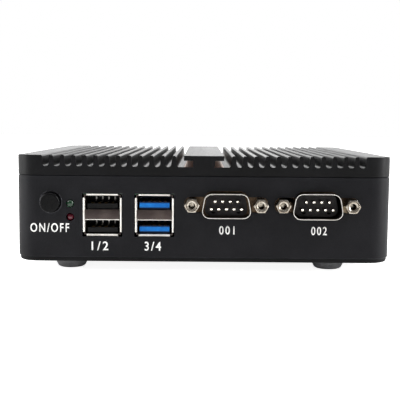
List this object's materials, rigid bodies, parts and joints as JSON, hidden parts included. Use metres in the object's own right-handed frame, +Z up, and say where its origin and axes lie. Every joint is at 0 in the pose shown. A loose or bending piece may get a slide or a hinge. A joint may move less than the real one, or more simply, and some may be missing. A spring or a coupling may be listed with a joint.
{
  "type": "fanless industrial pc",
  "caption": "Small fanless industrial computer: a finned aluminium lid over a rounded housing frame, with serial, data, video and network sockets front and rear and a push button.",
  "frame": {"origin": "middle of the footprint, on the surface that the feet stand on", "axes": "+X to the right seen from the front, +Y to the back, +Z up"},
  "size_m": [0.138, 0.1358, 0.043],
  "materials": {
    "anodised_case": "black anodised, fine satin grain",
    "painted_plate": "black powder coat, satin",
    "foot_rubber": "matt moulded rubber",
    "black_screws": "black oxide",
    "plated_steel": "bright nickel plate",
    "button_plastic": "smooth black, soft sheen",
    "black_plastic": "matt moulded",
    "blue_plastic": "matt moulded",
    "green_lamp": "tinted clear resin",
    "red_lamp": "tinted clear resin",
    "amber_lens": "tinted clear resin",
    "gold_contacts": "gold flash",
    "bright_pins": "bright plated",
    "circuit_board": "solder resist, satin",
    "bare_aluminium": "bare, fine machined",
    "thermal_rubber": "soft matt sheet"
  },
  "bodies": {
    "case": {"activity_lamp": "red_lamp", "analogue_video_core": "blue_plastic", "analogue_video_jackscrews": "plated_steel", "analogue_video_shell": "plated_steel", "battery_holder": "black_plastic", "board_capacitors": "bare_aluminium", "board_screws": "plated_steel", "board_standoffs": "plated_steel", "bottom_plate": "painted_plate", "bracket_inserts": "plated_steel", "button_switch": "black_plastic", "case_screws": "black_screws", "clock_battery": "plated_steel", "control_chips": "black_plastic", "digital_video_core": "black_plastic", "digital_video_shell": "plated_steel", "foot_front_left": "foot_rubber", "foot_front_right": "foot_rubber", "foot_rear_left": "foot_rubber", "foot_rear_right": "foot_rubber", "headphone_socket": "black_plastic", "heat_block": "bare_aluminium", "heatsink_lid": "anodised_case", "housing_frame": "anodised_case", "lamp_holder": "black_plastic", "memory_module": "circuit_board", "memory_socket": "black_plastic", "microphone_socket": "black_plastic", "motherboard": "circuit_board", "network_contacts": "gold_contacts", "network_inner_core": "black_plastic", "network_inner_shell": "plated_steel", "network_lamps": "amber_lens", "network_outer_core": "black_plastic", "network_outer_shell": "plated_steel", "power_inductors": "black_plastic", "power_inlet": "black_plastic", "power_inlet_pin": "plated_steel", "power_lamp": "green_lamp", "processor": "black_plastic", "serial_left_core": "black_plastic", "serial_left_jackscrews": "plated_steel", "serial_left_pins": "bright_pins", "serial_left_shell": "plated_steel", "serial_right_core": "black_plastic", "serial_right_jackscrews": "plated_steel", "serial_right_pins": "bright_pins", "serial_right_shell": "plated_steel", "storage_module": "circuit_board", "storage_socket": "black_plastic", "thermal_pad": "thermal_rubber", "twin_port_left_contacts": "gold_contacts", "twin_port_left_core": "black_plastic", "twin_port_left_shell": "plated_steel", "twin_port_right_contacts": "gold_contacts", "twin_port_right_core": "blue_plastic", "twin_port_right_shell": "plated_steel"},
    "power_button": {"power_button_cap": "button_plastic", "switch_plunger": "black_plastic"}
  },
  "joints": [
    {"name": "power_button_press", "type": "slide", "parent": "case", "child": "power_button", "axis": [0, 1, 0], "range_m": [0, 0.0015], "stiffness_N_per_m": 400}
  ]
}
